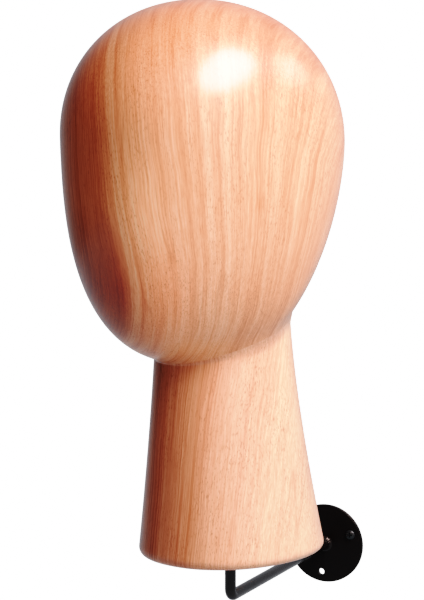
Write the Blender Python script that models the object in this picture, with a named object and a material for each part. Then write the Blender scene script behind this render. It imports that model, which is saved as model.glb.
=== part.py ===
"""A faceless wooden display head that turns on the upright post of a wall bracket.

The wall is the plane y = 0, and the room is on its -Y side. The origin is the centre of the wall
plate's back face, +Y points into the wall and +Z points up. The arm runs along -Y and bends up into
the post. The head and its neck are glued together, and they stand on the post by a steel sleeve.
"""
import math

import bmesh
import bpy
import numpy as np
from mathutils import Matrix, Vector

MM = 0.001
GAP = 0.3 * MM

# Wall bracket
PLATE_RADIUS = 30.0 * MM
PLATE_THICKNESS = 3.0 * MM
PLATE_RIM_BEVEL = 0.5 * MM
ROD_RADIUS = 3.75 * MM
BEND_RADIUS = 5.5 * MM
REACH = 182.0 * MM
POST_TOP = 106.0 * MM
WELD_RADIUS = 6.0 * MM
WELD_HEIGHT = 2.2 * MM

# Wall screws: three holes on one circle, the first one this far round from +X towards +Z
SCREW_CIRCLE_RADIUS = 22.5 * MM
FIRST_SCREW_ANGLE = math.radians(22.5)
SCREW_HOLE_RADIUS = 2.5 * MM
SCREW_HEAD_RADIUS = 3.7 * MM
SCREW_HEAD_HEIGHT = 2.2 * MM
SCREW_SHANK_RADIUS = 2.0 * MM
SCREW_LENGTH = 16.0 * MM
RECESS_WIDTH = 1.1 * MM
RECESS_SPAN = 4.6 * MM
RECESS_DEPTH = 1.6 * MM

# Head: an egg whose level sections are ovals. "Front" and "back" are half depths.
HEAD_TURN = math.radians(-20.0)
CROWN_HEIGHT = 396.0 * MM
WIDEST_HEIGHT = 306.0 * MM
CHIN_HEIGHT = 160.5 * MM
HEAD_FRONT = 99.5 * MM
HEAD_BACK = 98.5 * MM
HEAD_HALF_WIDTH = 79.5 * MM
FORWARD_AT_CROWN = 27.0 * MM
FORWARD_AT_WIDEST = 24.0 * MM
FORWARD_AT_CHIN = 18.0 * MM
SECTION_POWER = 2.2
CROWN_POWER = 2.07
FACE_POWER = 3.1
NAPE_POWER = 1.5
CHEEK_POWER = 2.3

# Neck: a flaring oval column
NECK_BASE_HEIGHT = 31.0 * MM
NECK_TOP_HEIGHT = 190.0 * MM
NECK_BASE = (64.5 * MM, 70.0 * MM, 56.0 * MM)
NECK_TOP = (55.0 * MM, 35.5 * MM, 41.5 * MM)
FLARE_POWER = 1.33
NECK_SECTION_POWER = 2.15
NECK_EDGE_RADIUS = 6.5 * MM
JAW_FILLET = 11.0 * MM
NAPE_BLEND = 14.0 * MM

# Glued joint between head and neck: a plane that rises towards the nape
JOINT_HEIGHT = 184.0 * MM
JOINT_TILT = math.radians(20.0)
DOWEL_RADIUS = 5.0 * MM
DOWEL_LENGTH = 50.0 * MM
DOWEL_OFFSET = 18.0 * MM
DOWEL_FORWARD = 8.0 * MM
DOWEL_CHAMFER = 1.0 * MM

# Sleeve in the neck, and the button that the head stands on
SLEEVE_INNER_RADIUS = 4.0 * MM
SLEEVE_OUTER_RADIUS = 6.0 * MM
SLEEVE_TOP = 116.0 * MM
PLUG_LENGTH = 6.0 * MM
BUTTON_RADIUS = 3.4 * MM
STEM_RADIUS = 1.4 * MM
STEM_LENGTH = 8.0 * MM

# Mesh density
FIGURE_SIDES = 48
NECK_LEVELS = 8
CHIN_LEVELS = 16
CROWN_LEVELS = 11
EDGE_STEPS = 4
ROUND_SIDES = 32
SMALL_SIDES = 24
BEND_STEPS = 8
BISECTIONS = 40


def clear_scene():
    for item in list(bpy.data.objects):
        bpy.data.objects.remove(item, do_unlink=True)


def material(name, colour, roughness, metallic=0.0, coat=0.0):
    made = bpy.data.materials.new(name)
    made.use_nodes = True
    shader = made.node_tree.nodes["Principled BSDF"]
    shader.inputs["Base Color"].default_value = (*colour, 1.0)
    shader.inputs["Roughness"].default_value = roughness
    shader.inputs["Metallic"].default_value = metallic
    shader.inputs["Coat Weight"].default_value = coat
    return made


def empty(name, location, turn=0.0):
    made = bpy.data.objects.new(name, None)
    made.location = location
    made.rotation_euler = (0.0, 0.0, turn)
    bpy.context.scene.collection.objects.link(made)
    return made


def add_object(name, mesh, finish=None, parent=None, matrix=None):
    mesh.shade_smooth()
    mesh.set_sharp_from_angle(angle=math.radians(35.0))
    made = bpy.data.objects.new(name, mesh)
    if finish is not None:
        mesh.materials.append(finish)
    if matrix is not None:
        made.matrix_local = matrix
    if parent is not None:
        made.parent = parent
    bpy.context.scene.collection.objects.link(made)
    return made


def as_mesh(name, bm):
    bmesh.ops.recalc_face_normals(bm, faces=bm.faces[:])
    mesh = bpy.data.meshes.new(name)
    bm.to_mesh(mesh)
    bm.free()
    return mesh


def ring_solid(name, rings, closed_loop=False):
    """Skin a list of rings. A ring of one point is a pole, and open ends are capped."""
    bm = bmesh.new()
    made = [[bm.verts.new(point) for point in ring] for ring in rings]
    pairs = list(zip(made, made[1:]))
    if closed_loop:
        pairs.append((made[-1], made[0]))
    for low, high in pairs:
        sides = max(len(low), len(high))
        for i in range(sides):
            j = (i + 1) % sides
            corners = [low[i % len(low)], low[j % len(low)], high[j % len(high)], high[i % len(high)]]
            bm.faces.new(list(dict.fromkeys(corners)))
    if not closed_loop:
        for end in (made[0], made[-1]):
            if len(end) > 1:
                bm.faces.new(end)
    return as_mesh(name, bm)


def turned(name, profile, sides, closed_loop=False):
    """Turn (radius, height) points round Z. A point with no radius is a pole."""
    angles = [2 * math.pi * i / sides for i in range(sides)]
    rings = []
    for radius, height in profile:
        if radius == 0.0:
            rings.append([(0.0, 0.0, height)])
        else:
            rings.append([(radius * math.cos(a), radius * math.sin(a), height) for a in angles])
    return ring_solid(name, rings, closed_loop)


def cutter(name, mesh, parent=None, matrix=None):
    made = add_object(name, mesh, parent=parent, matrix=matrix)
    made.hide_render = True
    made.display_type = "WIRE"
    return made


def cut(target, tool):
    modifier = target.modifiers.new("cut " + tool.name, "BOOLEAN")
    modifier.operation = "DIFFERENCE"
    modifier.solver = "EXACT"
    modifier.object = tool


# ---------------------------------------------------------------- head and neck

def outline_distance(angles, centre_y, front, back, half_width, power):
    """Distance from (0, centre_y) to the outline of an oval round (0, 0), along each angle."""
    near = np.zeros_like(angles)
    far = np.full_like(angles, 2 * HEAD_FRONT)
    for _ in range(BISECTIONS):
        middle = (near + far) / 2
        x = middle * np.cos(angles)
        y = centre_y + middle * np.sin(angles)
        depth = np.where(y < 0, front, back)
        inside = (np.abs(x) / half_width) ** power + (np.abs(y) / depth) ** power < 1
        near = np.where(inside, middle, near)
        far = np.where(inside, far, middle)
    return near


def head_section(height):
    """How far the egg's centre line stands forward of the post, and the oval's half sizes."""
    if height >= WIDEST_HEIGHT:
        part = min((height - WIDEST_HEIGHT) / (CROWN_HEIGHT - WIDEST_HEIGHT), 1.0)
        end, powers = FORWARD_AT_CROWN, (CROWN_POWER, CROWN_POWER, CROWN_POWER)
    else:
        part = min((WIDEST_HEIGHT - height) / (WIDEST_HEIGHT - CHIN_HEIGHT), 1.0)
        end, powers = FORWARD_AT_CHIN, (FACE_POWER, NAPE_POWER, CHEEK_POWER)
    forward = FORWARD_AT_WIDEST + (end - FORWARD_AT_WIDEST) * part
    sizes = (HEAD_FRONT, HEAD_BACK, HEAD_HALF_WIDTH)
    return forward, [size * (1 - part ** p) ** (1 / p) for size, p in zip(sizes, powers)]


def neck_section(height):
    """The neck oval's half sizes, with the rounded lower edge."""
    part = min((height - NECK_BASE_HEIGHT) / (NECK_TOP_HEIGHT - NECK_BASE_HEIGHT), 1.0)
    flare = (1 - part) ** FLARE_POWER
    below = max(1 - (height - NECK_BASE_HEIGHT) / NECK_EDGE_RADIUS, 0.0)
    rounding = NECK_EDGE_RADIUS * (1 - math.sqrt(1 - below ** 2))
    return [top + (base - top) * flare - rounding for top, base in zip(NECK_TOP, NECK_BASE)]


def figure_ring(height, angles):
    """One level outline of the head and neck together, with a fillet where they cross."""
    forward, oval = head_section(max(height, CHIN_HEIGHT))
    head = np.zeros_like(angles)
    neck = np.zeros_like(angles)
    if height > CHIN_HEIGHT:
        head = outline_distance(angles, 0.0, *oval, SECTION_POWER)
    if height < NECK_TOP_HEIGHT + JAW_FILLET:
        neck = outline_distance(angles, -forward, *neck_section(height), NECK_SECTION_POWER)
        neck -= NAPE_BLEND * max((height - NECK_TOP_HEIGHT) / JAW_FILLET, 0.0) ** 2
    overlap = np.clip(1 - np.abs(head - neck) / JAW_FILLET, 0, 1)
    distance = np.maximum(head, neck) + JAW_FILLET * overlap ** 2 / 4
    x = distance * np.cos(angles)
    y = distance * np.sin(angles) - forward
    return [(float(a), float(b), height) for a, b in zip(x, y)]


def figure_levels():
    """Heights of the rings: close together at the base edge, under the chin and at the crown."""
    levels = []
    for i in range(EDGE_STEPS):
        levels.append(NECK_BASE_HEIGHT + NECK_EDGE_RADIUS * (1 - math.cos(math.pi / 2 * i / EDGE_STEPS)))
    start = NECK_BASE_HEIGHT + NECK_EDGE_RADIUS
    levels += list(np.linspace(start, CHIN_HEIGHT, NECK_LEVELS, endpoint=False))
    for i in range(CHIN_LEVELS):
        angle = math.pi / 2 * (1 - i / CHIN_LEVELS)
        levels.append(WIDEST_HEIGHT - (WIDEST_HEIGHT - CHIN_HEIGHT) * math.sin(angle))
    for i in range(CROWN_LEVELS):
        angle = math.pi / 2 * i / CROWN_LEVELS
        levels.append(WIDEST_HEIGHT + (CROWN_HEIGHT - WIDEST_HEIGHT) * math.sin(angle))
    return levels


def figure_block(name, keep_above):
    """The figure on one side of the glued joint's plane, closed there by a flat face."""
    angles = np.linspace(0, 2 * math.pi, FIGURE_SIDES, endpoint=False)
    rings = [figure_ring(float(level), angles) for level in figure_levels()]
    rings.append([(0.0, -FORWARD_AT_CROWN, CROWN_HEIGHT)])
    whole = ring_solid(name, rings)
    bm = bmesh.new()
    bm.from_mesh(whole)
    bpy.data.meshes.remove(whole)
    normal = Vector((0.0, -math.sin(JOINT_TILT), math.cos(JOINT_TILT)))
    shift = GAP / 2 if keep_above else -GAP / 2
    result = bmesh.ops.bisect_plane(
        bm,
        geom=bm.verts[:] + bm.edges[:] + bm.faces[:],
        dist=0.1 * MM,
        plane_co=Vector((0.0, 0.0, JOINT_HEIGHT)) + normal * shift,
        plane_no=normal,
        clear_inner=keep_above,
        clear_outer=not keep_above,
    )
    edges = [item for item in result["geom_cut"] if isinstance(item, bmesh.types.BMEdge)]
    bmesh.ops.edgeloop_fill(bm, edges=edges)
    return as_mesh(name, bm)


def dowel_place(side):
    """A dowel stands square to the joint's plane, half in each block."""
    centre_y = -DOWEL_FORWARD
    centre = Vector((side * DOWEL_OFFSET, centre_y, JOINT_HEIGHT + centre_y * math.tan(JOINT_TILT)))
    return Matrix.Translation(centre) @ Matrix.Rotation(JOINT_TILT, 4, "X")


def dowel_mesh(name, radius, length, chamfer):
    half = length / 2
    profile = [(0.0, -half), (radius - chamfer, -half), (radius, -half + chamfer)]
    profile += [(radius, half - chamfer), (radius - chamfer, half), (0.0, half)]
    return turned(name, profile, SMALL_SIDES)


def make_figure(axis):
    wood = material("head wood", (0.72, 0.40, 0.24), 0.35, coat=0.4)
    neck_wood = material("neck wood", (0.78, 0.48, 0.30), 0.35, coat=0.4)
    beech = material("beech dowel", (0.66, 0.47, 0.30), 0.6)
    head = add_object("head_block", figure_block("head_block", True), wood, axis)
    neck = add_object("neck_block", figure_block("neck_block", False), neck_wood, axis)

    for side, word in ((-1, "left"), (1, "right")):
        place = dowel_place(side)
        hole = dowel_mesh("dowel hole", DOWEL_RADIUS + GAP, DOWEL_LENGTH + 2 * GAP, DOWEL_CHAMFER)
        tool = cutter("dowel_hole_" + word, hole, axis, place)
        cut(head, tool)
        cut(neck, tool)
        name = "joint_dowel_" + word
        add_object(name, dowel_mesh(name, DOWEL_RADIUS, DOWEL_LENGTH, DOWEL_CHAMFER), beech, axis, place)

    radius = SLEEVE_OUTER_RADIUS + GAP
    low = NECK_BASE_HEIGHT - 1.0 * MM
    profile = [(0.0, low), (radius, low), (radius, SLEEVE_TOP + GAP), (0.0, SLEEVE_TOP + GAP)]
    cut(neck, cutter("sleeve_bore", turned("sleeve bore", profile, ROUND_SIDES), axis))


def make_sleeve(axis):
    zinc = material("zinc steel", (0.55, 0.56, 0.58), 0.35, metallic=1.0)
    low = NECK_BASE_HEIGHT + 0.5 * MM
    profile = [(SLEEVE_INNER_RADIUS, low), (SLEEVE_OUTER_RADIUS, low)]
    profile += [(SLEEVE_OUTER_RADIUS, SLEEVE_TOP), (SLEEVE_INNER_RADIUS, SLEEVE_TOP)]
    add_object("post_sleeve", turned("post_sleeve", profile, ROUND_SIDES, closed_loop=True), zinc, axis)
    radius = SLEEVE_INNER_RADIUS - GAP
    low = SLEEVE_TOP - PLUG_LENGTH
    profile = [(0.0, low), (radius, low), (radius, SLEEVE_TOP), (0.0, SLEEVE_TOP)]
    add_object("sleeve_plug", turned("sleeve_plug", profile, ROUND_SIDES), zinc, axis)


def make_button(axis):
    """A nylon button with a loose stem in the post's end. Its domed top carries the head."""
    nylon = material("white nylon", (0.80, 0.79, 0.74), 0.5)
    low = POST_TOP + GAP
    top = SLEEVE_TOP - PLUG_LENGTH - GAP
    shoulder = low + 0.45 * (top - low)
    profile = [(0.0, POST_TOP - STEM_LENGTH), (STEM_RADIUS, POST_TOP - STEM_LENGTH)]
    profile += [(STEM_RADIUS, low), (BUTTON_RADIUS, low)]
    for i in range(EDGE_STEPS):
        angle = math.pi / 2 * i / EDGE_STEPS
        profile.append((BUTTON_RADIUS * math.cos(angle), shoulder + (top - shoulder) * math.sin(angle)))
    profile.append((0.0, top))
    add_object("thrust_button", turned("thrust_button", profile, SMALL_SIDES), nylon, axis)


# ---------------------------------------------------------------- wall bracket

def rod_ring(centre, tilt, radius):
    """A ring square to the rod. Tilt 0 is the level arm and 90 degrees is the upright post."""
    across = Vector((0.0, math.sin(tilt), math.cos(tilt)))
    ring = []
    for i in range(SMALL_SIDES):
        angle = 2 * math.pi * i / SMALL_SIDES
        ring.append(centre + radius * (math.cos(angle) * Vector((1.0, 0.0, 0.0)) + math.sin(angle) * across))
    return ring


def make_rod(finish):
    """One bar: the arm from the plate, a tight bend and the post, drilled for the button's stem."""
    right_angle = math.pi / 2
    rings = [rod_ring(Vector((0.0, -PLATE_THICKNESS - GAP, 0.0)), 0.0, ROD_RADIUS)]
    for i in range(BEND_STEPS + 1):
        tilt = right_angle * i / BEND_STEPS
        y = -REACH + BEND_RADIUS * (1 - math.sin(tilt))
        z = BEND_RADIUS * (1 - math.cos(tilt))
        rings.append(rod_ring(Vector((0.0, y, z)), tilt, ROD_RADIUS))
    chamfer = 0.5 * MM
    drilled = STEM_RADIUS + GAP
    ends = [(ROD_RADIUS, POST_TOP - chamfer), (ROD_RADIUS - chamfer, POST_TOP), (drilled, POST_TOP)]
    ends.append((drilled, POST_TOP - STEM_LENGTH - GAP))
    for radius, height in ends:
        rings.append(rod_ring(Vector((0.0, -REACH, height)), right_angle, radius))
    add_object("bracket_rod", ring_solid("bracket_rod", rings), finish)


def make_weld(finish):
    """A fillet of weld round the rod's root. Its own Z axis points out of the plate."""
    inner = ROD_RADIUS + GAP
    profile = [(inner, 0.0), (WELD_RADIUS, 0.0)]
    for i in range(1, EDGE_STEPS):
        angle = math.pi / 2 * i / EDGE_STEPS
        profile.append((WELD_RADIUS - (WELD_RADIUS - inner - GAP) * math.sin(angle),
                        WELD_HEIGHT * (1 - math.cos(angle))))
    profile.append((inner, WELD_HEIGHT))
    mesh = turned("rod_weld", profile, SMALL_SIDES, closed_loop=True)
    add_object("rod_weld", mesh, finish, matrix=out_of_wall((0.0, -PLATE_THICKNESS - GAP, 0.0)))


def out_of_wall(location):
    """A placement whose Z axis points away from the wall."""
    return Matrix.Translation(location) @ Matrix.Rotation(math.pi / 2, 4, "X")


def screw_place(index):
    angle = FIRST_SCREW_ANGLE + index * 2 * math.pi / 3
    return out_of_wall((SCREW_CIRCLE_RADIUS * math.cos(angle), 0.0, SCREW_CIRCLE_RADIUS * math.sin(angle)))


def make_plate(finish):
    inner = PLATE_RADIUS - PLATE_RIM_BEVEL
    profile = [(0.0, 0.0), (PLATE_RADIUS, 0.0), (PLATE_RADIUS, PLATE_THICKNESS - PLATE_RIM_BEVEL)]
    profile += [(inner, PLATE_THICKNESS), (0.0, PLATE_THICKNESS)]
    mesh = turned("wall_plate", profile, 2 * ROUND_SIDES)
    plate = add_object("wall_plate", mesh, finish, matrix=out_of_wall((0.0, 0.0, 0.0)))
    past = 1.0 * MM
    profile = [(0.0, -past), (SCREW_HOLE_RADIUS, -past), (SCREW_HOLE_RADIUS, PLATE_THICKNESS + past)]
    profile.append((0.0, PLATE_THICKNESS + past))
    hole = turned("screw hole", profile, SMALL_SIDES)
    for index in range(3):
        cut(plate, cutter("screw_hole_%d" % (index + 1), hole, matrix=screw_place(index)))


def recess_mesh():
    """A cross-shaped cutter, narrower at its foot, for the driver's recess."""
    half, reach = RECESS_WIDTH / 2, RECESS_SPAN / 2
    outline = [(half, half), (half, reach), (-half, reach), (-half, half)]
    cross = []
    for turn in range(4):
        c, s = round(math.cos(turn * math.pi / 2)), round(math.sin(turn * math.pi / 2))
        cross += [(c * x - s * y, s * x + c * y) for x, y in outline[:3]]
    face = PLATE_THICKNESS + GAP + SCREW_HEAD_HEIGHT
    top = face + 0.5 * MM
    low = face - RECESS_DEPTH
    rings = [[(0.6 * x, 0.6 * y, low) for x, y in cross], [(x, y, top) for x, y in cross]]
    return ring_solid("driver recess", rings)


def make_screws(finish):
    """Pan-headed wood screws in the first two holes. The third hole is empty."""
    under = PLATE_THICKNESS + GAP
    shoulder = under + 0.3 * SCREW_HEAD_HEIGHT
    tip = PLATE_THICKNESS - SCREW_LENGTH
    profile = [(0.0, tip), (0.35 * SCREW_SHANK_RADIUS, tip + 1.0 * MM)]
    profile += [(SCREW_SHANK_RADIUS, tip + 5.0 * MM), (SCREW_SHANK_RADIUS, under), (SCREW_HEAD_RADIUS, under)]
    for i in range(EDGE_STEPS):
        angle = math.pi / 2 * i / EDGE_STEPS
        height = shoulder + 0.7 * SCREW_HEAD_HEIGHT * math.sin(angle)
        profile.append((SCREW_HEAD_RADIUS * math.cos(angle), height))
    profile.append((0.0, under + SCREW_HEAD_HEIGHT))
    mesh = turned("wall screw", profile, SMALL_SIDES)
    recess = recess_mesh()
    for index, name in enumerate(("wall_screw_right", "wall_screw_left")):
        screw = add_object(name, mesh.copy(), finish, matrix=screw_place(index))
        cut(screw, cutter("recess_" + name, recess.copy(), matrix=screw_place(index)))


def main():
    clear_scene()
    post_axis = empty("post_axis", (0.0, -REACH, 0.0), HEAD_TURN)
    make_figure(post_axis)
    make_sleeve(post_axis)
    make_button(post_axis)
    black_paint = material("black gloss paint", (0.008, 0.008, 0.009), 0.25, coat=0.5)
    black_steel = material("black screw steel", (0.02, 0.02, 0.022), 0.35, metallic=0.6)
    make_rod(black_paint)
    make_weld(black_paint)
    make_plate(black_paint)
    make_screws(black_steel)


main()
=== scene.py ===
"""The looks of the wooden display head: fine meshes, wood and paint, studio light and the camera.

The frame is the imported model's: the wall is y = 0, the room is on its -Y side, the arm's axis is z = 0.
"""

import math

import bmesh
import bpy
import numpy as np
from mathutils import Matrix, Vector


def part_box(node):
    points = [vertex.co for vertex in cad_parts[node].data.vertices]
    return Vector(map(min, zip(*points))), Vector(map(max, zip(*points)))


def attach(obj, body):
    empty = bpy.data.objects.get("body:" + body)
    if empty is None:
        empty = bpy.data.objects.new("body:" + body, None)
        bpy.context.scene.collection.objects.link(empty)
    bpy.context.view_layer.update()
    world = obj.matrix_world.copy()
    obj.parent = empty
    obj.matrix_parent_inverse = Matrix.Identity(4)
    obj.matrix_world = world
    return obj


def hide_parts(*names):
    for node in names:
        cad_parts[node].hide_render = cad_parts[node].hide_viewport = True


MM = 0.001
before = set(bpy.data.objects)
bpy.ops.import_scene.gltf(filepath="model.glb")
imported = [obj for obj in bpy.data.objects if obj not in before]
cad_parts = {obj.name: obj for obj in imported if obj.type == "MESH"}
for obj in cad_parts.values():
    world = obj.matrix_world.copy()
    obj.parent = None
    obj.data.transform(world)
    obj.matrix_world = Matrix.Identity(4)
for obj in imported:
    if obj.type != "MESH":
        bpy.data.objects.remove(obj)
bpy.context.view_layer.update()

# ---------------------------------------------------------------- sizes, as in the frame
PLATE_LOW, PLATE_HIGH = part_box("wall_plate")
PLATE_RADIUS = (PLATE_HIGH.x - PLATE_LOW.x) / 2
PLATE_THICKNESS = PLATE_HIGH.y - PLATE_LOW.y
ROD_LOW, ROD_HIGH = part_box("bracket_rod")
ROD_RADIUS = (ROD_HIGH.x - ROD_LOW.x) / 2
POST_TOP = ROD_HIGH.z
REACH = -ROD_LOW.y - ROD_RADIUS
BEND_RADIUS = 5.5 * MM
GAP = 0.3 * MM
SKIN = 0.15 * MM
RIM_RADIUS = 0.5 * MM
WELD_RADIUS = 6.0 * MM
WELD_HEIGHT = 2.2 * MM
WELD_RIPPLES = 13
SCREW_CIRCLE_RADIUS = 22.5 * MM
FIRST_SCREW_ANGLE = math.radians(22.5)
SCREW_HOLE_RADIUS = 2.5 * MM
SCREW_LENGTH = 16.0 * MM
SCREW_POINT = 5.0 * MM
SCREW_HEAD_RADIUS = 3.7 * MM
SCREW_FACE = PLATE_THICKNESS + 2.5 * MM
THREAD_RADIUS = 2.0 * MM
THREAD_CORE = 1.4 * MM
THREAD_PITCH = 1.6 * MM
RECESS_WIDTH = 1.1 * MM
RECESS_SPAN = 4.6 * MM
RECESS_DEPTH = 1.6 * MM
STEM_RADIUS = 1.4 * MM
STEM_LENGTH = 8.0 * MM

HEAD_TURN = math.radians(-20.0)
CROWN_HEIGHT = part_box("head_block")[1].z
WIDEST_HEIGHT = 306.0 * MM
CHIN_HEIGHT = 160.5 * MM
HEAD_FRONT = 99.5 * MM
HEAD_BACK = 98.5 * MM
HEAD_HALF_WIDTH = 79.5 * MM
FORWARD_AT_CROWN = 27.0 * MM
FORWARD_AT_WIDEST = 24.0 * MM
FORWARD_AT_CHIN = 18.0 * MM
SECTION_POWER = 2.2
CROWN_POWER = 2.07
FACE_POWER = 3.1
NAPE_POWER = 1.5
CHEEK_POWER = 2.3
NECK_BASE_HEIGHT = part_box("neck_block")[0].z
NECK_TOP_HEIGHT = 190.0 * MM
NECK_BASE = (64.5 * MM, 70.0 * MM, 56.0 * MM)
NECK_TOP = (55.0 * MM, 35.5 * MM, 41.5 * MM)
FLARE_POWER = 1.33
NECK_SECTION_POWER = 2.15
NECK_EDGE_RADIUS = 6.5 * MM
JAW_FILLET = 11.0 * MM
NAPE_BLEND = 14.0 * MM
JOINT_HEIGHT = 184.0 * MM
JOINT_TILT = math.radians(20.0)

SLEEVE_LOW, SLEEVE_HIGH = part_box("post_sleeve")
SLEEVE_OUTER_RADIUS = (SLEEVE_HIGH.x - SLEEVE_LOW.x) / 2
SLEEVE_INNER_RADIUS = 4.0 * MM
PLUG_LENGTH = 6.0 * MM
BUTTON_RADIUS = 3.4 * MM
DOWEL_RADIUS = 5.0 * MM
DOWEL_LENGTH = 50.0 * MM
DOWEL_CHAMFER = 1.0 * MM
DOWEL_FLUTES = 20
DOWEL_FLUTE_DEPTH = 0.25 * MM
DOWEL_OFFSET = 18.0 * MM
DOWEL_FORWARD = 8.0 * MM

FIGURE_SIDES = 192
NECK_LEVELS = 60
CHIN_LEVELS = 72
CROWN_LEVELS = 48
EDGE_STEPS = 8
PLATE_SIDES = 144
ROD_SIDES = 64
BEND_STEPS = 24
SCREW_SIDES = 48
THREAD_STEPS = 12
DOWEL_SIDES = 120
BISECTIONS = 40

# ---------------------------------------------------------------- camera, lamps and film
CAMERA_LENS = 102.0
CAMERA_TARGET = (-0.0177, -0.1731, 0.1991)
CAMERA_DISTANCE = 1.146
VIEW_AZIMUTH = 24.6
VIEW_ELEVATION = 4.4
LIGHT_TARGET = (0.0, -0.2, 0.26)
LIGHT_COLOUR = (1.0, 0.76, 0.71)
FILL_COLOUR = (1.0, 0.62, 0.52)

# Name, azimuth from the view's, elevation, distance, size, watts, colour, roll, whether gloss shows it.
LAMPS = [
    ("key softbox", 53, 47, 1.1, (0.92, 0.48), 32, LIGHT_COLOUR, 20.0, True),
    ("low softbox", 43, 10, 1.4, (1.0, 0.8), 15, LIGHT_COLOUR, 0.0, False),
    ("front softbox", -5, 42, 1.5, (0.8, 0.8), 6.2, FILL_COLOUR, 0.0, False),
    ("back softbox", 108, 34, 1.3, (0.5, 0.35), 2.7, LIGHT_COLOUR, 0.0, True),
]

# The dim light from all round, what gloss shows in front, behind and below, the floor and the tone curve.
SHADE_COLOUR = (1.0, 0.46, 0.36)
SHADE_STRENGTH = 0.10
GLOSS_COLOUR = (0.92, 0.94, 1.0)
GLOSS_IN_FRONT = 0.03
GLOSS_BEHIND = 0.5
GLOSS_BELOW = 0.52
FLOOR_COLOUR = (0.42, 0.40, 0.38)
FLOOR_HEIGHT = -0.45
FLOOR_HALF_WIDTH = 3.0
FILM_WHITE = 2.0
FILM_CURVE = [(0.03, 0.010), (0.06, 0.026), (0.1, 0.068), (0.2, 0.20), (0.3, 0.31), (0.45, 0.44),
              (0.6, 0.54), (0.9, 0.72), (1.1, 0.82), (1.3, 0.88), (1.55, 0.94), (1.8, 0.97)]

# ---------------------------------------------------------------- the wood's growth layers and colours
PITH_POINT = Vector((55.0, 13.0, 319.0)) * MM
PITH_AXIS = Vector((0.242, -0.620, 0.746)).normalized()
LONG_RING_AXIS = PITH_AXIS.cross(Vector((0.948, 0.314, -0.047))).normalized()
SHORT_RING_AXIS = LONG_RING_AXIS.cross(PITH_AXIS)
LAYER_SCALE = 100.0 * MM
SHORT_RING_BOW = 0.66
LONG_RING_BOW = 0.42
LAYER_RISE = 0.52
LAYER_RISE_BOW = 0.03
NECK_LAYERS_ACROSS = math.radians(44.6)
NECK_LAYER_LEAN = math.tan(math.radians(5.0))
NECK_LAYER_BOW = 0.25

# Stripes as (place across the layers in mm, tone), where tone 0 is dark and 1 is pale.
HEAD_FIGURE = [(-16, 0.8), (-6, 0.62), (1, 0.68), (4, 0.5), (11, 0.78), (14, 0.58), (21, 0.5),
               (24.5, 0.72), (35, 0.4), (38, 0.6), (41.5, 0.75), (46, 0.6), (52, 0.8), (57, 0.62),
               (63.5, 0.85), (66.5, 0.55), (70, 0.78), (75.5, 0.46), (83, 0.8), (88, 0.6), (93, 0.78),
               (98, 0.62), (107, 0.76), (110.8, 0.42), (112.5, 0.9), (116.5, 0.85), (118.5, 0.42),
               (124, 0.36), (132, 0.44), (145, 0.34), (160, 0.34)]
# The neck's darkest stops, on its left side away from the light, are partly painted shade under the jaw.
NECK_FIGURE_AND_SHADE = [(-90, 0.1), (-66, 0.0), (-54, 0.0), (-47, 0.12), (-40, 0.1), (-30, 0.2), (-23, 0.1),
               (-14, 0.4), (-5, 0.45), (5, 0.6), (15, 0.7), (24, 1.0), (34, 0.85), (45, 1.05), (60, 0.9)]
BEECH_FIGURE = [(-90, 0.4), (90, 0.6)]
HEAD_TONES = [(0.0, (0.44, 0.145, 0.06)), (0.2, (0.56, 0.235, 0.125)), (0.6, (0.76, 0.39, 0.235)),
              (1.0, (0.85, 0.54, 0.36))]
# The neck's darkest tone is partly painted shade.
NECK_TONES = [(0.0, (0.50, 0.20, 0.10)), (0.14, (0.66, 0.31, 0.195)), (0.5, (0.80, 0.455, 0.305)),
              (1.0, (0.87, 0.61, 0.42))]
BEECH_TONES = [(0.0, (0.55, 0.37, 0.21)), (0.5, (0.66, 0.47, 0.29)), (1.0, (0.74, 0.56, 0.37))]
FIBRE_TINTS = [(0.0, (0.86, 0.76, 0.70)), (1.0, (1.08, 1.12, 1.14))]
VEINS_FROM = 15.0 * MM
VEINS_FULL = 35.0 * MM
PORE_COLOUR = (0.36, 0.13, 0.06)
PORE_SHARE = 0.62

# The crown is darkened towards its top, a painted shade, and the far cheek has dark heart wood with painted
# shade in it that fades out upwards.
CROWN_SHADE_TINT = (0.79, 0.61, 0.54)
CROWN_LOW = CROWN_HEIGHT - 95.0 * MM
CROWN_HIGH = CROWN_HEIGHT - 15.0 * MM
# Dark heart wood on the far cheek, with the painted shade of the unlit side in the same tint.
HEART_AND_SHADE_TINT = (0.60, 0.30, 0.20)
HEART_AND_SHADE_FROM = 115.0 * MM
HEART_AND_SHADE_EDGE = 7.0 * MM
HEART_AND_SHADE_HEIGHT = 215.0 * MM
HEART_AND_SHADE_FADE = 50.0 * MM
HEART_AND_SHADE_FOOT_LOW = 168.0 * MM
HEART_AND_SHADE_FOOT_HIGH = 205.0 * MM
HEART_AND_SHADE_FOOT_SHARE = 0.35

# Oval patches of painted light on the head's wood as (centre and half size, across the layers and in
# height, tint).
# Painted light: a broad pale sheen on the far cheek, where a soft fill light falls.
PAINTED_LIGHT_PATCH = ((104.0 * MM, 258.0 * MM), (17.0 * MM, 36.0 * MM), (1.36, 1.46, 1.48))
# Painted light: a warm, rosy glow of bounced light on the far cheek.
PAINTED_WARM_LIGHT_PATCH = ((97.0 * MM, 208.0 * MM), (19.0 * MM, 30.0 * MM), (1.14, 0.92, 0.86))
# Painted light: the lower jaw made paler where light from below falls.
PAINTED_JAW_LIGHT_PATCH = ((84.0 * MM, 176.0 * MM), (17.0 * MM, 22.0 * MM), (1.15, 1.24, 1.30))

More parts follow.
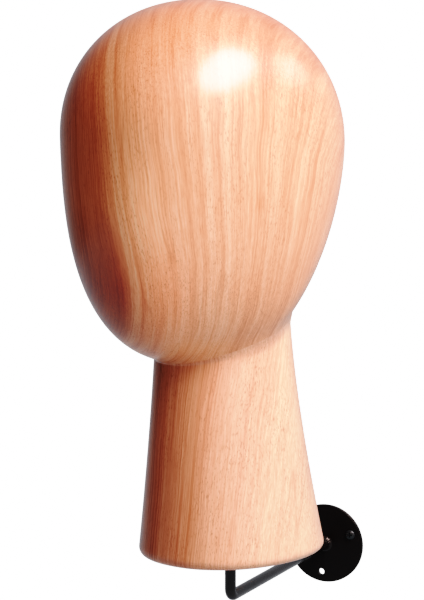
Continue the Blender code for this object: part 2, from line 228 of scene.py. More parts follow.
# ---------------------------------------------------------------- paints, as a pair of colours in blotches
GLOSS_BLACK = ((0.0045, 0.0047, 0.0052), (0.007, 0.007, 0.0075))
SATIN_BLACK = ((0.0040, 0.0042, 0.0046), (0.006, 0.006, 0.0065))
SCREW_BLACK = ((0.045, 0.058, 0.066), (0.075, 0.095, 0.105))
ZINC_GREYS = ((0.50, 0.51, 0.53), (0.62, 0.62, 0.61))
NYLON_WHITES = ((0.78, 0.77, 0.71), (0.83, 0.82, 0.77))

HEAD_PLACE = Matrix.Translation((0.0, -REACH, 0.0)) @ Matrix.Rotation(HEAD_TURN, 4, "Z")


# ---------------------------------------------------------------- camera, floor and light

def look_at(item, target):
    item.rotation_euler = (Vector(target) - item.location).to_track_quat("-Z", "Y").to_euler()


def from_target(target, azimuth, elevation, distance):
    """A point seen from the target at an azimuth from -Y towards +X, in degrees."""
    a, e = math.radians(azimuth), math.radians(elevation)
    level = math.cos(e)
    return Vector(target) + distance * Vector((math.sin(a) * level, -math.cos(a) * level, math.sin(e)))


def make_camera():
    data = bpy.data.cameras.new("camera")
    data.lens = CAMERA_LENS
    camera = bpy.data.objects.new("camera", data)
    camera.location = from_target(CAMERA_TARGET, VIEW_AZIMUTH, VIEW_ELEVATION, CAMERA_DISTANCE)
    look_at(camera, CAMERA_TARGET)
    bpy.context.scene.collection.objects.link(camera)
    bpy.context.scene.camera = camera


def make_lights():
    for name, azimuth, elevation, distance, size, watts, colour, roll, in_gloss in LAMPS:
        data = bpy.data.lights.new(name, "AREA")
        data.shape = "ELLIPSE"
        data.size, data.size_y = size
        data.energy = watts
        data.color = colour
        light = bpy.data.objects.new(name, data)
        light.location = from_target(LIGHT_TARGET, VIEW_AZIMUTH + azimuth, elevation, distance)
        look_at(light, LIGHT_TARGET)
        turn = Matrix.Rotation(math.radians(roll), 3, "Z")
        light.rotation_euler = (light.rotation_euler.to_matrix() @ turn).to_euler()
        light.visible_glossy = in_gloss
        bpy.context.scene.collection.objects.link(light)


def make_world():
    """White to the camera, a bright wall behind the object in its gloss, and a dim warm shade."""
    world = bpy.data.worlds.new("studio")
    bpy.context.scene.world = world
    world.use_nodes = True
    nodes, links = world.node_tree.nodes, world.node_tree.links
    nodes.clear()
    ray = nodes.new("ShaderNodeLightPath")
    out = nodes.new("ShaderNodeOutputWorld")

    def background(colour, strength):
        node = nodes.new("ShaderNodeBackground")
        node.inputs["Color"].default_value = (*colour, 1.0)
        node.inputs["Strength"].default_value = strength
        return node

    def choose(ray_kind, otherwise, chosen):
        mix = nodes.new("ShaderNodeMixShader")
        links.new(ray.outputs[ray_kind], mix.inputs["Fac"])
        links.new(otherwise.outputs[0], mix.inputs[1])
        links.new(chosen.outputs[0], mix.inputs[2])
        return mix

    direction = nodes.new("ShaderNodeTexCoord")
    axes = nodes.new("ShaderNodeSeparateXYZ")
    links.new(direction.outputs["Generated"], axes.inputs[0])
    behind = nodes.new("ShaderNodeMapRange")
    links.new(axes.outputs["Y"], behind.inputs["Value"])
    behind.inputs["From Min"].default_value = 0.0
    behind.inputs["From Max"].default_value = 0.8
    behind.inputs["To Min"].default_value = GLOSS_IN_FRONT
    behind.inputs["To Max"].default_value = GLOSS_BEHIND
    wall = background(GLOSS_COLOUR, 1.0)
    links.new(behind.outputs["Result"], wall.inputs["Strength"])

    shade = background(SHADE_COLOUR, SHADE_STRENGTH)
    white = background((1.0, 1.0, 1.0), FILM_WHITE)
    seen = choose("Is Camera Ray", choose("Is Glossy Ray", shade, wall), white)
    links.new(seen.outputs[0], out.inputs["Surface"])


def make_floor():
    """A pale floor far below the object, white to the camera and bouncing light up to its base."""
    bm = bmesh.new()
    bmesh.ops.create_grid(bm, x_segments=8, y_segments=8, size=FLOOR_HALF_WIDTH)
    mesh = as_mesh("floor", bm)
    floor = bpy.data.objects.new("floor", mesh)
    floor.location = (0.0, 0.0, FLOOR_HEIGHT)
    bpy.context.scene.collection.objects.link(floor)
    material = bpy.data.materials.new("pale floor")
    material.use_nodes = True
    nodes, links = material.node_tree.nodes, material.node_tree.links
    nodes["Principled BSDF"].inputs["Base Color"].default_value = (*FLOOR_COLOUR, 1.0)
    white = nodes.new("ShaderNodeEmission")
    white.inputs["Strength"].default_value = FILM_WHITE
    ray = nodes.new("ShaderNodeLightPath")
    mix = nodes.new("ShaderNodeMixShader")
    links.new(ray.outputs["Is Camera Ray"], mix.inputs["Fac"])
    links.new(white.outputs["Emission"], mix.inputs[2])
    glow = nodes.new("ShaderNodeEmission")
    glow.inputs["Color"].default_value = (*GLOSS_COLOUR, 1.0)
    glow.inputs["Strength"].default_value = GLOSS_BELOW
    soft = nodes.new("ShaderNodeMixShader")
    links.new(ray.outputs["Is Glossy Ray"], soft.inputs["Fac"])
    links.new(nodes["Principled BSDF"].outputs["BSDF"], soft.inputs[1])
    links.new(glow.outputs["Emission"], soft.inputs[2])
    links.new(soft.outputs["Shader"], mix.inputs[1])
    links.new(mix.outputs["Shader"], nodes["Material Output"].inputs["Surface"])
    mesh.materials.append(material)


def set_film():
    """A film's tone curve: deep shadows, and highlights that flatten towards white."""
    view = bpy.context.scene.view_settings
    view.view_transform = "Standard"
    view.use_curve_mapping = True
    mapping = view.curve_mapping
    mapping.white_level = (FILM_WHITE, FILM_WHITE, FILM_WHITE)
    curve = mapping.curves[3]
    for exposure, brightness in FILM_CURVE:
        curve.points.new(exposure / FILM_WHITE, brightness)
    mapping.update()


# ---------------------------------------------------------------- mesh helpers

def ring_solid(name, rings, closed_loop=False):
    """Skin a list of rings. A ring of one point is a pole, and open ends are capped."""
    bm = bmesh.new()
    made = [[bm.verts.new(point) for point in ring] for ring in rings]
    pairs = list(zip(made, made[1:]))
    if closed_loop:
        pairs.append((made[-1], made[0]))
    for low, high in pairs:
        sides = max(len(low), len(high))
        for i in range(sides):
            j = (i + 1) % sides
            corners = [low[i % len(low)], low[j % len(low)], high[j % len(high)], high[i % len(high)]]
            bm.faces.new(list(dict.fromkeys(corners)))
    if not closed_loop:
        for end in (made[0], made[-1]):
            if len(end) > 1:
                bm.faces.new(end)
    return as_mesh(name, bm)


def as_mesh(name, bm):
    bmesh.ops.recalc_face_normals(bm, faces=bm.faces[:])
    mesh = bpy.data.meshes.new(name)
    bm.to_mesh(mesh)
    bm.free()
    return mesh


def circle(radius, height, sides):
    """A level ring round Z, or its centre alone when there is no radius."""
    if radius == 0.0:
        return [(0.0, 0.0, height)]
    angles = [2 * math.pi * i / sides for i in range(sides)]
    return [(radius * math.cos(a), radius * math.sin(a), height) for a in angles]


def turned(name, profile, sides, closed_loop=False):
    """Turn (radius, height) points round Z."""
    return ring_solid(name, [circle(radius, height, sides) for radius, height in profile], closed_loop)


def add_piece(name, mesh, finish, body, replaced, place=None, sharp=35.0):
    """A finished piece with its vertices in the row frame, riding on its body."""
    if place is not None:
        mesh.transform(place)
    mesh.shade_smooth()
    mesh.set_sharp_from_angle(angle=math.radians(sharp))
    mesh.materials.append(finish)
    piece = bpy.data.objects.new(name, mesh)
    bpy.context.scene.collection.objects.link(piece)
    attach(piece, body)
    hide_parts(*replaced)


# ---------------------------------------------------------------- head and neck shape

def outline_distance(angles, centre_y, front, back, half_width, power):
    """Distance from (0, centre_y) to the outline of an oval round (0, 0), along each angle."""
    near = np.zeros_like(angles)
    far = np.full_like(angles, 2 * HEAD_FRONT)
    for _ in range(BISECTIONS):
        middle = (near + far) / 2
        x = middle * np.cos(angles)
        y = centre_y + middle * np.sin(angles)
        depth = np.where(y < 0, front, back)
        inside = (np.abs(x) / half_width) ** power + (np.abs(y) / depth) ** power < 1
        near = np.where(inside, middle, near)
        far = np.where(inside, far, middle)
    return near


def head_section(height):
    """How far the egg's centre line stands forward of the post, and the oval's half sizes."""
    if height >= WIDEST_HEIGHT:
        part = min((height - WIDEST_HEIGHT) / (CROWN_HEIGHT - WIDEST_HEIGHT), 1.0)
        end, powers = FORWARD_AT_CROWN, (CROWN_POWER, CROWN_POWER, CROWN_POWER)
    else:
        part = min((WIDEST_HEIGHT - height) / (WIDEST_HEIGHT - CHIN_HEIGHT), 1.0)
        end, powers = FORWARD_AT_CHIN, (FACE_POWER, NAPE_POWER, CHEEK_POWER)
    forward = FORWARD_AT_WIDEST + (end - FORWARD_AT_WIDEST) * part
    sizes = (HEAD_FRONT, HEAD_BACK, HEAD_HALF_WIDTH)
    return forward, [size * (1 - part ** p) ** (1 / p) for size, p in zip(sizes, powers)]


def neck_section(height):
    """The neck oval's half sizes, with the rounded lower edge."""
    part = min((height - NECK_BASE_HEIGHT) / (NECK_TOP_HEIGHT - NECK_BASE_HEIGHT), 1.0)
    flare = (1 - part) ** FLARE_POWER
    below = max(1 - (height - NECK_BASE_HEIGHT) / NECK_EDGE_RADIUS, 0.0)
    rounding = NECK_EDGE_RADIUS * (1 - math.sqrt(1 - below ** 2))
    return [top + (base - top) * flare - rounding for top, base in zip(NECK_TOP, NECK_BASE)]


def figure_ring(height, angles):
    """One level outline of the head and neck together, with a fillet where they cross."""
    forward, oval = head_section(max(height, CHIN_HEIGHT))
    head = np.zeros_like(angles)
    neck = np.zeros_like(angles)
    if height > CHIN_HEIGHT:
        head = outline_distance(angles, 0.0, *oval, SECTION_POWER)
    if height < NECK_TOP_HEIGHT + JAW_FILLET:
        neck = outline_distance(angles, -forward, *neck_section(height), NECK_SECTION_POWER)
        neck -= NAPE_BLEND * max((height - NECK_TOP_HEIGHT) / JAW_FILLET, 0.0) ** 2
    overlap = np.clip(1 - np.abs(head - neck) / JAW_FILLET, 0, 1)
    distance = np.maximum(head, neck) + JAW_FILLET * overlap ** 2 / 4 - SKIN
    x = distance * np.cos(angles)
    y = distance * np.sin(angles) - forward
    return [(float(a), float(b), height) for a, b in zip(x, y)]


def figure_levels():
    """Heights of the rings: close together at the base edge, under the chin and at the crown."""
    levels = []
    for i in range(EDGE_STEPS):
        levels.append(NECK_BASE_HEIGHT + NECK_EDGE_RADIUS * (1 - math.cos(math.pi / 2 * i / EDGE_STEPS)))
    start = NECK_BASE_HEIGHT + NECK_EDGE_RADIUS
    levels += list(np.linspace(start, CHIN_HEIGHT, NECK_LEVELS, endpoint=False))
    for i in range(CHIN_LEVELS):
        angle = math.pi / 2 * (1 - i / CHIN_LEVELS)
        levels.append(WIDEST_HEIGHT - (WIDEST_HEIGHT - CHIN_HEIGHT) * math.sin(angle))
    for i in range(CROWN_LEVELS):
        angle = math.pi / 2 * i / CROWN_LEVELS
        levels.append(WIDEST_HEIGHT + (CROWN_HEIGHT - WIDEST_HEIGHT) * math.sin(angle))
    return levels


def bore_rings(angles):
    """Rings from the bottom of the neck's bore down to its mouth and out across the flat base."""
    radius = SLEEVE_OUTER_RADIUS + GAP
    top = SLEEVE_HIGH.z + GAP
    bevel = 0.6 * MM
    profile = [(radius, top), (radius, NECK_BASE_HEIGHT + bevel), (radius + bevel, NECK_BASE_HEIGHT)]
    rings = [[(0.0, 0.0, top)]]
    for reach, height in profile:
        rings.append([(reach * math.cos(a), reach * math.sin(a), height) for a in angles])
    edge = figure_ring(NECK_BASE_HEIGHT, angles)
    mouth = rings[-1]
    for share in (0.3, 0.6):
        rings.append([tuple(m + (e - m) * share for m, e in zip(inner, outer))
                      for inner, outer in zip(mouth, edge)])
    return rings


def figure_block(name, keep_above):
    """The figure on one side of the glued joint's plane, closed there by a flat face."""
    angles = np.linspace(0, 2 * math.pi, FIGURE_SIDES, endpoint=False)
    rings = [] if keep_above else bore_rings(angles)
    rings += [figure_ring(float(level), angles) for level in figure_levels()]
    rings.append([(0.0, -FORWARD_AT_CROWN, CROWN_HEIGHT)])
    whole = ring_solid(name, rings)
    bm = bmesh.new()
    bm.from_mesh(whole)
    bpy.data.meshes.remove(whole)
    normal = Vector((0.0, -math.sin(JOINT_TILT), math.cos(JOINT_TILT)))
    result = bmesh.ops.bisect_plane(
        bm,
        geom=bm.verts[:] + bm.edges[:] + bm.faces[:],
        dist=0.02 * MM,
        plane_co=Vector((0.0, 0.0, JOINT_HEIGHT)),
        plane_no=normal,
        clear_inner=keep_above,
        clear_outer=not keep_above,
    )
    edges = [item for item in result["geom_cut"] if isinstance(item, bmesh.types.BMEdge)]
    bmesh.ops.edgeloop_fill(bm, edges=edges)
    return as_mesh(name, bm)


# ---------------------------------------------------------------- bracket and fittings shape

def out_of_wall(location):
    """A placement whose Z axis points away from the wall."""
    return Matrix.Translation(location) @ Matrix.Rotation(math.pi / 2, 4, "X")


def screw_place(index):
    angle = FIRST_SCREW_ANGLE + index * 2 * math.pi / 3
    return out_of_wall((SCREW_CIRCLE_RADIUS * math.cos(angle), 0.0, SCREW_CIRCLE_RADIUS * math.sin(angle)))


def rounded(radius, height, edge, steps):
    """Points of a rounded outer edge, from the side at (radius, height - edge) to the top."""
    points = []
    for i in range(steps + 1):
        angle = math.pi / 2 * i / steps
        points.append((radius - edge + edge * math.cos(angle), height - edge + edge * math.sin(angle)))
    return points


def cut_away(mesh, tools):
    """The mesh with each (cutter mesh, placement) taken out of it."""
    target = bpy.data.objects.new("cut target", mesh)
    bpy.context.scene.collection.objects.link(target)
    made = []
    for tool_mesh, place in tools:
        tool = bpy.data.objects.new("cutter", tool_mesh)
        tool.matrix_world = place
        bpy.context.scene.collection.objects.link(tool)
        made.append(tool)
        modifier = target.modifiers.new("cut", "BOOLEAN")
        modifier.operation = "DIFFERENCE"
        modifier.solver = "EXACT"
        modifier.object = tool
    bpy.context.view_layer.update()
    result = bpy.data.meshes.new_from_object(target.evaluated_get(bpy.context.evaluated_depsgraph_get()))
    for item in [target] + made:
        bpy.data.objects.remove(item, do_unlink=True)
    return result


def plate_mesh():
    """A disc with a rounded rim and three plain holes, its back on z = 0."""
    profile = [(0.0, 0.0), (PLATE_RADIUS - 0.2 * MM, 0.0), (PLATE_RADIUS, 0.2 * MM)]
    profile += rounded(PLATE_RADIUS, PLATE_THICKNESS, RIM_RADIUS, EDGE_STEPS)
    profile.append((0.0, PLATE_THICKNESS))
    disc = turned("plate", profile, PLATE_SIDES)
    past = 1.0 * MM
    edge = 0.15 * MM
    flare = SCREW_HOLE_RADIUS + edge + past
    profile = [(0.0, -past), (SCREW_HOLE_RADIUS, -past), (SCREW_HOLE_RADIUS, PLATE_THICKNESS - edge)]
    profile += [(flare, PLATE_THICKNESS + past), (0.0, PLATE_THICKNESS + past)]
    turn = out_of_wall((0.0, 0.0, 0.0)).inverted()
    tools = []
    for index in range(3):
        hole = turned("hole", profile, SCREW_SIDES)
        tools.append((hole, turn @ screw_place(index)))
    return cut_away(disc, tools)


def rod_mesh():
    """One bar: the arm from the plate, a tight bend and the post, drilled for the button's stem."""
    right_angle = math.pi / 2

    def ring(centre, tilt, radius):
        across = Vector((0.0, math.sin(tilt), math.cos(tilt)))
        angles = [2 * math.pi * i / ROD_SIDES for i in range(ROD_SIDES)]
        return [Vector(centre) + radius * (math.cos(a) * Vector((1.0, 0.0, 0.0)) + math.sin(a) * across)
                for a in angles]

    root = -PLATE_THICKNESS - GAP
    rings = [ring((0.0, root, 0.0), 0.0, ROD_RADIUS)]
    for share in np.linspace(0.1, 0.9, 9):
        rings.append(ring((0.0, root + (BEND_RADIUS - REACH - root) * float(share), 0.0), 0.0, ROD_RADIUS))
    for i in range(BEND_STEPS + 1):
        tilt = right_angle * i / BEND_STEPS
        y = -REACH + BEND_RADIUS * (1 - math.sin(tilt))
        z = BEND_RADIUS * (1 - math.cos(tilt))
        rings.append(ring((0.0, y, z), tilt, ROD_RADIUS))
    for radius, height in rounded(ROD_RADIUS, POST_TOP, 0.5 * MM, 4):
        rings.append(ring((0.0, -REACH, height), right_angle, radius))
    drilled = STEM_RADIUS + GAP
    rings.append(ring((0.0, -REACH, POST_TOP), right_angle, drilled + 0.2 * MM))
    rings.append(ring((0.0, -REACH, POST_TOP - 0.2 * MM), right_angle, drilled))
    rings.append(ring((0.0, -REACH, POST_TOP - STEM_LENGTH - GAP), right_angle, drilled))
    return ring_solid("rod", rings)


def weld_mesh():
    """A bead laid round the rod's root in overlapping ripples, its Z axis out of the plate."""
    inner = ROD_RADIUS + GAP
    throat = inner + 0.25 * MM
    sides = 16 * WELD_RIPPLES
    steps = 12
    rings = [[] for _ in range(steps + 2)]
    for i in range(sides):
        angle = 2 * math.pi * i / sides
        phase = (i / sides * WELD_RIPPLES) % 1.0
        ripple = 1.0 - 0.22 * (1 - math.sin(math.pi * phase)) - 0.06 * (1 + math.sin(3 * angle + 0.7)) / 2
        toe = inner + (WELD_RADIUS - inner) * (0.92 + 0.08 * ripple)
        height = WELD_HEIGHT * ripple
        column = [(inner, 0.0), (toe, 0.0)]
        for k in range(1, steps):
            turn = math.pi / 2 * k / steps
            column.append((toe - (toe - throat) * math.sin(turn) ** 1.25,
                           height * (1 - math.cos(turn)) ** 0.8))
        column.append((inner, height))
        for ring, (radius, level) in zip(rings, column):
            ring.append((radius * math.cos(angle), radius * math.sin(angle), level))
    return ring_solid("weld", rings, closed_loop=True)


def screw_mesh():
    """A pan-headed wood screw with a thread, a point and a cross recess, its head up."""
    under = PLATE_THICKNESS + 0.02 * MM
    shoulder = under + 0.3 * (SCREW_FACE - under)
    tip = PLATE_THICKNESS - SCREW_LENGTH
    thread_end = under - 0.8 * MM
    blunt = 0.12
    crest_share = 0.3
    rings = [[(0.0, 0.0, tip)]]
    height = tip + 0.2 * MM
    while height < thread_end:
        taper = min(blunt + (1 - blunt) * (height - tip) / SCREW_POINT, 1.0)
        fade = min((thread_end - height) / THREAD_PITCH, 1.0)
        ring = []
        for i in range(SCREW_SIDES):
            angle = 2 * math.pi * i / SCREW_SIDES
            phase = (height / THREAD_PITCH - i / SCREW_SIDES) % 1.0
            crest = max(1 - abs(phase - 0.5) / crest_share, 0.0) * fade
            radius = taper * (THREAD_CORE + (THREAD_RADIUS - THREAD_CORE) * crest)
            ring.append((radius * math.cos(angle), radius * math.sin(angle), height))
        rings.append(ring)
        height += THREAD_PITCH / THREAD_STEPS
    outline = [(THREAD_CORE, under - 0.5 * MM), (THREAD_CORE, under), (SCREW_HEAD_RADIUS - 0.1 * MM, under)]
    outline.append((SCREW_HEAD_RADIUS, under + 0.1 * MM))
    dome = SCREW_FACE - shoulder
    for i in range(EDGE_STEPS):
        turn = math.pi / 2 * i / EDGE_STEPS
        outline.append((SCREW_HEAD_RADIUS * math.cos(turn), shoulder + dome * math.sin(turn)))
    outline.append((0.0, SCREW_FACE))
    rings += [circle(radius, level, SCREW_SIDES) for radius, level in outline]
    return cut_away(ring_solid("screw", rings), [(recess_mesh(), Matrix.Identity(4))])


def recess_mesh():
    """A cross-shaped cutter, narrower at its foot, for the driver's recess."""
    half, reach = RECESS_WIDTH / 2, RECESS_SPAN / 2
    cross = []
    for turn in range(4):
        c, s = round(math.cos(turn * math.pi / 2)), round(math.sin(turn * math.pi / 2))
        cross += [(c * x - s * y, s * x + c * y) for x, y in ((half, half), (half, reach), (-half, reach))]
    top = SCREW_FACE + 0.5 * MM
    low = SCREW_FACE - RECESS_DEPTH
    rings = [[(0.6 * x, 0.6 * y, low) for x, y in cross], [(x, y, top) for x, y in cross]]
    return ring_solid("driver recess", rings)


def sleeve_mesh():
    """A plain steel tube with broken edges."""
    edge = 0.3 * MM
    low, high = SLEEVE_LOW.z, SLEEVE_HIGH.z
    inner, outer = SLEEVE_INNER_RADIUS, SLEEVE_OUTER_RADIUS
    profile = [(inner, low + edge), (inner + edge, low), (outer - edge, low), (outer, low + edge)]
    profile += [(outer, high - edge), (outer - edge, high), (inner + edge, high), (inner, high - edge)]
    return turned("sleeve", profile, ROD_SIDES, closed_loop=True)


def plug_mesh():
    """A short pin with broken edges, which closes the sleeve's upper end."""
    edge = 0.3 * MM
    radius = SLEEVE_INNER_RADIUS - GAP
    low, high = SLEEVE_HIGH.z - PLUG_LENGTH, SLEEVE_HIGH.z
    profile = [(0.0, low), (radius - edge, low), (radius, low + edge), (radius, high - edge)]
    profile += [(radius - edge, high), (0.0, high)]
    return turned("plug", profile, ROD_SIDES)


def button_mesh():
    """A domed button with its stem down in the post's end."""
    low = POST_TOP + GAP
    top = SLEEVE_HIGH.z - PLUG_LENGTH - GAP
    shoulder = low + 0.45 * (top - low)
    foot = POST_TOP - STEM_LENGTH
    edge = 0.25 * MM
    profile = [(0.0, foot), (STEM_RADIUS - edge, foot), (STEM_RADIUS, foot + edge), (STEM_RADIUS, low)]
    profile += [(BUTTON_RADIUS - edge, low), (BUTTON_RADIUS, low + edge)]
    for i in range(2 * EDGE_STEPS):
        angle = math.pi / 2 * i / (2 * EDGE_STEPS)
        profile.append((BUTTON_RADIUS * math.cos(angle), shoulder + (top - shoulder) * math.sin(angle)))
    profile.append((0.0, top))
    return turned("button", profile, ROD_SIDES)


def dowel_place(side):
    """A dowel stands square to the joint's plane, half in each block."""
    centre_y = -DOWEL_FORWARD
    centre = Vector((side * DOWEL_OFFSET, centre_y, JOINT_HEIGHT + centre_y * math.tan(JOINT_TILT)))
    return Matrix.Translation(centre) @ Matrix.Rotation(JOINT_TILT, 4, "X")


def dowel_mesh():
    """A fluted beech dowel with chamfered ends, its middle on the origin."""
    half = DOWEL_LENGTH / 2
    rings = []
    for radius, height in ((DOWEL_RADIUS - DOWEL_CHAMFER, -half), (DOWEL_RADIUS, DOWEL_CHAMFER - half),
                           (DOWEL_RADIUS, half - DOWEL_CHAMFER), (DOWEL_RADIUS - DOWEL_CHAMFER, half)):
        ring = []
        for i in range(DOWEL_SIDES):
            angle = 2 * math.pi * i / DOWEL_SIDES
            groove = DOWEL_FLUTE_DEPTH * max(math.cos(DOWEL_FLUTES * angle), 0.0)
            ring.append(((radius - groove) * math.cos(angle), (radius - groove) * math.sin(angle), height))
        rings.append(ring)
    return ring_solid("dowel", rings)


# ---------------------------------------------------------------- grain coordinates

def head_grain(point):
    """(across the growth layers, round them, along the trunk) in metres.

    The layers are nested bowls round a leaning pith, so they bow over the whole head.
    """
    away = (point - PITH_POINT) / LAYER_SCALE
    short, long, rise = away.dot(SHORT_RING_AXIS), away.dot(LONG_RING_AXIS), away.dot(PITH_AXIS)
    layer = SHORT_RING_BOW * short ** 2 + LONG_RING_BOW * long ** 2
    layer += LAYER_RISE * rise + LAYER_RISE_BOW * rise ** 2
    return layer * LAYER_SCALE, point.x * 0.71 - point.y * 0.71, point.z


def neck_grain(point):
    """The same for the neck, whose layers are upright, almost flat and lean a little."""
    c, s = math.cos(NECK_LAYERS_ACROSS), math.sin(NECK_LAYERS_ACROSS)
    across = point.x * c + point.y * s
    depth = point.y * c - point.x * s
    layer = across - point.z * NECK_LAYER_LEAN + NECK_LAYER_BOW * depth ** 2 / LAYER_SCALE
    return layer, depth, point.z


def write_grain(mesh, rule):
    attribute = mesh.attributes.new("grain", "FLOAT_VECTOR", "POINT")
    values = [c for vertex in mesh.vertices for c in rule(vertex.co)]
    attribute.data.foreach_set("vector", values)


# ---------------------------------------------------------------- materials

class Tree:
    """Short calls for building one material's nodes."""

    def __init__(self, name):
        self.material = bpy.data.materials.new(name)
        self.material.use_nodes = True
        self.nodes = self.material.node_tree.nodes
        self.links = self.material.node_tree.links
        self.shader = self.nodes["Principled BSDF"]

    def feed(self, socket, value):
        if isinstance(value, bpy.types.NodeSocket):
            self.links.new(value, socket)
        else:
            socket.default_value = value

    def math(self, operation, *values):
        node = self.nodes.new("ShaderNodeMath")
        node.operation = operation
        for socket, value in zip(node.inputs, values):
            self.feed(socket, value)
        return node.outputs[0]

    def vector(self, x, y, z):
        node = self.nodes.new("ShaderNodeCombineXYZ")
        for socket, value in zip(node.inputs, (x, y, z)):
            self.feed(socket, value)
        return node.outputs[0]

    def noise(self, vector, scale, detail, roughness):
        node = self.nodes.new("ShaderNodeTexNoise")
        self.feed(node.inputs["Vector"], vector)
        self.feed(node.inputs["Scale"], scale)
        self.feed(node.inputs["Detail"], detail)
        self.feed(node.inputs["Roughness"], roughness)
        return node.outputs["Fac"]

    def remap(self, value, low, high, to_low=0.0, to_high=1.0):
        node = self.nodes.new("ShaderNodeMapRange")
        for name, item in (("Value", value), ("From Min", low), ("From Max", high),
                           ("To Min", to_low), ("To Max", to_high)):
            self.feed(node.inputs[name], item)
        return node.outputs["Result"]

    def ramp(self, value, stops):
        node = self.nodes.new("ShaderNodeValToRGB")
        elements = node.color_ramp.elements
        while len(elements) < len(stops):
            elements.new(0.5)
        for element, (position, colour) in zip(elements, stops):
            element.position = position
            element.color = (*colour, 1.0)
        self.feed(node.inputs["Fac"], value)
        return node.outputs["Color"]

    def mix(self, factor, a, b, blend="MIX"):
        node = self.nodes.new("ShaderNodeMix")
        node.data_type = "RGBA"
        node.blend_type = blend
        self.feed(node.inputs["Factor"], factor)
        self.feed(node.inputs["A"], a if isinstance(a, bpy.types.NodeSocket) else (*a, 1.0))
        self.feed(node.inputs["B"], b if isinstance(b, bpy.types.NodeSocket) else (*b, 1.0))
        return node.outputs["Result"]

    def bump(self, height, strength, distance):
        node = self.nodes.new("ShaderNodeBump")
        self.feed(node.inputs["Height"], height)
        node.inputs["Strength"].default_value = strength
        node.inputs["Distance"].default_value = distance
        self.links.new(node.outputs["Normal"], self.shader.inputs["Normal"])


def tinted_patch(tree, colour, layer, height, centre, size, tint):
    """Tint an oval patch that fades out from its centre, across the layers and in height."""
    across = tree.math("DIVIDE", tree.math("SUBTRACT", layer, centre[0]), size[0])
    up = tree.math("DIVIDE", tree.math("SUBTRACT", height, centre[1]), size[1])
    away = tree.math("ADD", tree.math("POWER", across, 2.0), tree.math("POWER", up, 2.0))
    share = tree.math("EXPONENT", tree.math("MULTIPLY", away, -1.0))
    tinted = tree.mix(1.0, colour, tint, "MULTIPLY")
    tinted.node.clamp_result = True
    return tree.mix(share, colour, tinted)


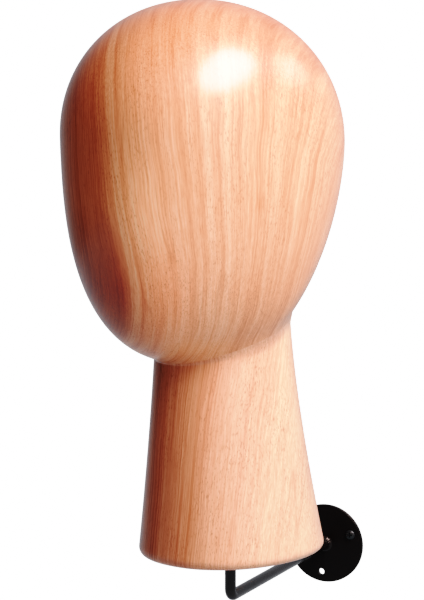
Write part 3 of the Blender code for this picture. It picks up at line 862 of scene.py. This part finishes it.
def wood(name, figure, figure_share, line_mm, tones):
    """Lacquered wood: growth layers, fine lines, fibre streaks and short pores along the grain.

    The figure's stripes count for figure_share of the tone, and the fine lines are line_mm apart.
    """
    tree = Tree(name)
    source = tree.nodes.new("ShaderNodeAttribute")
    source.attribute_name = "grain"
    parts = tree.nodes.new("ShaderNodeSeparateXYZ")
    tree.links.new(source.outputs["Vector"], parts.inputs[0])
    layer, around, height = parts.outputs

    def stretched(across_mm, around_mm, along_mm, detail, roughness, offset):
        vector = tree.vector(tree.math("MULTIPLY_ADD", layer, 1000.0 / across_mm, offset),
                             tree.math("MULTIPLY", around, 1000.0 / around_mm),
                             tree.math("MULTIPLY", height, 1000.0 / along_mm))
        return tree.noise(vector, 1.0, detail, roughness)

    broad_sway = tree.math("MULTIPLY_ADD", stretched(60.0, 70.0, 60.0, 1.0, 0.4, 5.0), 0.0060, -0.0030)
    fine_sway = tree.math("MULTIPLY_ADD", stretched(9.0, 14.0, 9.0, 1.0, 0.4, 9.0), 0.0008, -0.0004)
    layer = tree.math("ADD", layer, tree.math("ADD", broad_sway, fine_sway))

    first, last = figure[0][0], figure[-1][0]
    place = tree.remap(layer, first * MM, last * MM)
    drawn = tree.ramp(place, [((x - first) / (last - first), (tone, tone, tone)) for x, tone in figure])
    bands = stretched(6.0, 60.0, 330.0, 2.0, 0.55, 3.1)
    lines = stretched(line_mm, 20.0, 240.0, 2.0, 0.6, 7.7)
    crisp = tree.remap(lines, 0.36, 0.64, -0.19, 0.19)
    spread = tree.math("MULTIPLY_ADD", tree.math("SUBTRACT", bands, 0.5), 0.6, crisp)
    stripes = tree.math("MULTIPLY_ADD", drawn, figure_share, 0.5 * (1.0 - figure_share))
    colour = tree.ramp(tree.math("ADD", stripes, spread), tones)

    crown = tree.remap(height, CROWN_LOW, CROWN_HIGH)
    vein_field = stretched(9.0, 60.0, 420.0, 0.0, 0.5, 61.0)
    from_vein = tree.math("ABSOLUTE", tree.math("SUBTRACT", vein_field, 0.5))
    vein = tree.remap(from_vein, 0.003, 0.020, 0.34, 0.0)
    away_from_pith = tree.remap(layer, VEINS_FROM, VEINS_FULL)
    clear = tree.math("MULTIPLY", tree.math("SUBTRACT", 1.0, crown), away_from_pith)
    colour = tree.mix(tree.math("MULTIPLY", vein, clear), colour, tones[0][1])

    fibre = stretched(0.7, 1.4, 22.0, 2.0, 0.65, 11.0)
    colour = tree.mix(1.0, colour, tree.ramp(tree.remap(fibre, 0.30, 0.70), FIBRE_TINTS), "MULTIPLY")

    pores = tree.remap(stretched(0.7, 0.7, 2.6, 1.0, 0.5, 33.0), 0.56, 0.70)
    patches = tree.remap(stretched(14.0, 14.0, 60.0, 2.0, 0.5, 47.0), 0.36, 0.62, 0.2, 1.0)
    pores = tree.math("MULTIPLY", pores, patches)
    colour = tree.mix(tree.math("MULTIPLY", pores, PORE_SHARE), colour, PORE_COLOUR)

    # Painted shade: the wood darkens towards the crown.
    colour = tree.mix(crown, colour, tree.mix(1.0, colour, CROWN_SHADE_TINT, "MULTIPLY"))
    # Painted light: these patches brighten or warm the wood where light falls.
    for centre, size, tint in (PAINTED_LIGHT_PATCH, PAINTED_WARM_LIGHT_PATCH, PAINTED_JAW_LIGHT_PATCH):
        colour = tinted_patch(tree, colour, layer, height, centre, size, tint)
    # Dark heart wood and painted shade on the far cheek: strongest low down, fading out upwards and weaker
    # at its foot.
    heart_and_shade = tree.math("MULTIPLY", tree.remap(layer, HEART_AND_SHADE_FROM, HEART_AND_SHADE_FROM + HEART_AND_SHADE_EDGE),
                      tree.remap(height, HEART_AND_SHADE_HEIGHT + HEART_AND_SHADE_FADE, HEART_AND_SHADE_HEIGHT))
    heart_and_shade_foot = tree.remap(height, HEART_AND_SHADE_FOOT_LOW, HEART_AND_SHADE_FOOT_HIGH, HEART_AND_SHADE_FOOT_SHARE, 1.0)
    heart_and_shade = tree.math("MULTIPLY", heart_and_shade, heart_and_shade_foot)
    colour = tree.mix(heart_and_shade, colour, tree.mix(1.0, colour, HEART_AND_SHADE_TINT, "MULTIPLY"))

    tree.links.new(colour, tree.shader.inputs["Base Color"])
    rough = tree.remap(fibre, 0.3, 0.7, 0.42, 0.54)
    tree.links.new(rough, tree.shader.inputs["Roughness"])
    tree.shader.inputs["Specular IOR Level"].default_value = 0.3
    tree.shader.inputs["Coat Weight"].default_value = 1.0
    tree.shader.inputs["Coat Roughness"].default_value = 0.24
    tree.shader.inputs["Coat IOR"].default_value = 1.55
    relief = tree.math("SUBTRACT", tree.math("MULTIPLY", fibre, 0.4), pores)
    tree.bump(relief, 0.2, 0.00012)
    return tree.material


def metal(name, colours, metallic, rough, grain_scale, relief, coat=0.0, specular=0.5):
    """Painted or plated steel, or nylon, with faint unevenness in tone, gloss and surface."""
    tree = Tree(name)
    place = tree.nodes.new("ShaderNodeTexCoord").outputs["Object"]
    blotch = tree.noise(place, 90.0, 3.0, 0.6)
    peel = tree.noise(place, grain_scale, 2.0, 0.5)
    tree.links.new(tree.mix(blotch, *colours), tree.shader.inputs["Base Color"])
    tree.links.new(tree.remap(blotch, 0.3, 0.7, *rough), tree.shader.inputs["Roughness"])
    tree.shader.inputs["Metallic"].default_value = metallic
    tree.shader.inputs["Specular IOR Level"].default_value = specular
    tree.shader.inputs["Coat Weight"].default_value = coat
    tree.shader.inputs["Coat Roughness"].default_value = 0.12
    tree.bump(peel, relief, 0.0001)
    return tree.material


# ---------------------------------------------------------------- pieces

def make_figure():
    head = figure_block("head", True)
    write_grain(head, head_grain)
    add_piece("head", head, wood("head wood", HEAD_FIGURE, 1.0, 0.95, HEAD_TONES), "head",
              ["head_block"], HEAD_PLACE)
    neck = figure_block("neck", False)
    write_grain(neck, neck_grain)
    add_piece("neck", neck, wood("neck wood", NECK_FIGURE_AND_SHADE, 0.85, 1.05, NECK_TONES), "head",
              ["neck_block"], HEAD_PLACE)
    for side, name in ((-1, "left"), (1, "right")):
        mesh = dowel_mesh()
        write_grain(mesh, neck_grain)
        beech = wood("beech dowel " + name, BEECH_FIGURE, 0.2, 0.8, BEECH_TONES)
        add_piece("dowel_" + name, mesh, beech, "head", ["joint_dowel_" + name],
                  HEAD_PLACE @ dowel_place(side), 25.0)


def make_bracket():
    gloss = metal("black gloss paint", GLOSS_BLACK, 0.0, (0.22, 0.32), 700.0, 0.12, coat=0.5)
    satin = metal("black satin paint", SATIN_BLACK, 0.0, (0.40, 0.5), 700.0, 0.12, specular=0.3)
    oxide = metal("black screw steel", SCREW_BLACK, 0.8, (0.40, 0.52), 1600.0, 0.2)
    bead = metal("black weld paint", GLOSS_BLACK, 0.0, (0.34, 0.44), 700.0, 0.12, coat=0.1)
    wall = out_of_wall((0.0, 0.0, 0.0))
    add_piece("plate", plate_mesh(), satin, "bracket", ["wall_plate"], wall)
    add_piece("rod", rod_mesh(), gloss, "bracket", ["bracket_rod"])
    root = out_of_wall((0.0, -PLATE_THICKNESS - GAP, 0.0))
    add_piece("weld", weld_mesh(), bead, "bracket", ["rod_weld"], root, 60.0)
    for index, name in enumerate(("screw_right", "screw_left")):
        add_piece(name, screw_mesh(), oxide, "bracket", ["wall_" + name],
                  screw_place(index), 30.0)


def make_fittings():
    zinc = metal("zinc steel", ZINC_GREYS, 1.0, (0.30, 0.44), 1500.0, 0.25)
    nylon = metal("white nylon", NYLON_WHITES, 0.0, (0.42, 0.55), 1200.0, 0.15)
    add_piece("sleeve", sleeve_mesh(), zinc, "head", ["post_sleeve"], HEAD_PLACE)
    add_piece("plug", plug_mesh(), zinc, "head", ["sleeve_plug"], HEAD_PLACE)
    add_piece("button", button_mesh(), nylon, "button", ["thrust_button"], HEAD_PLACE)


def main():
    make_camera()
    make_world()
    make_lights()
    make_floor()
    set_film()
    make_figure()
    make_bracket()
    make_fittings()


main()
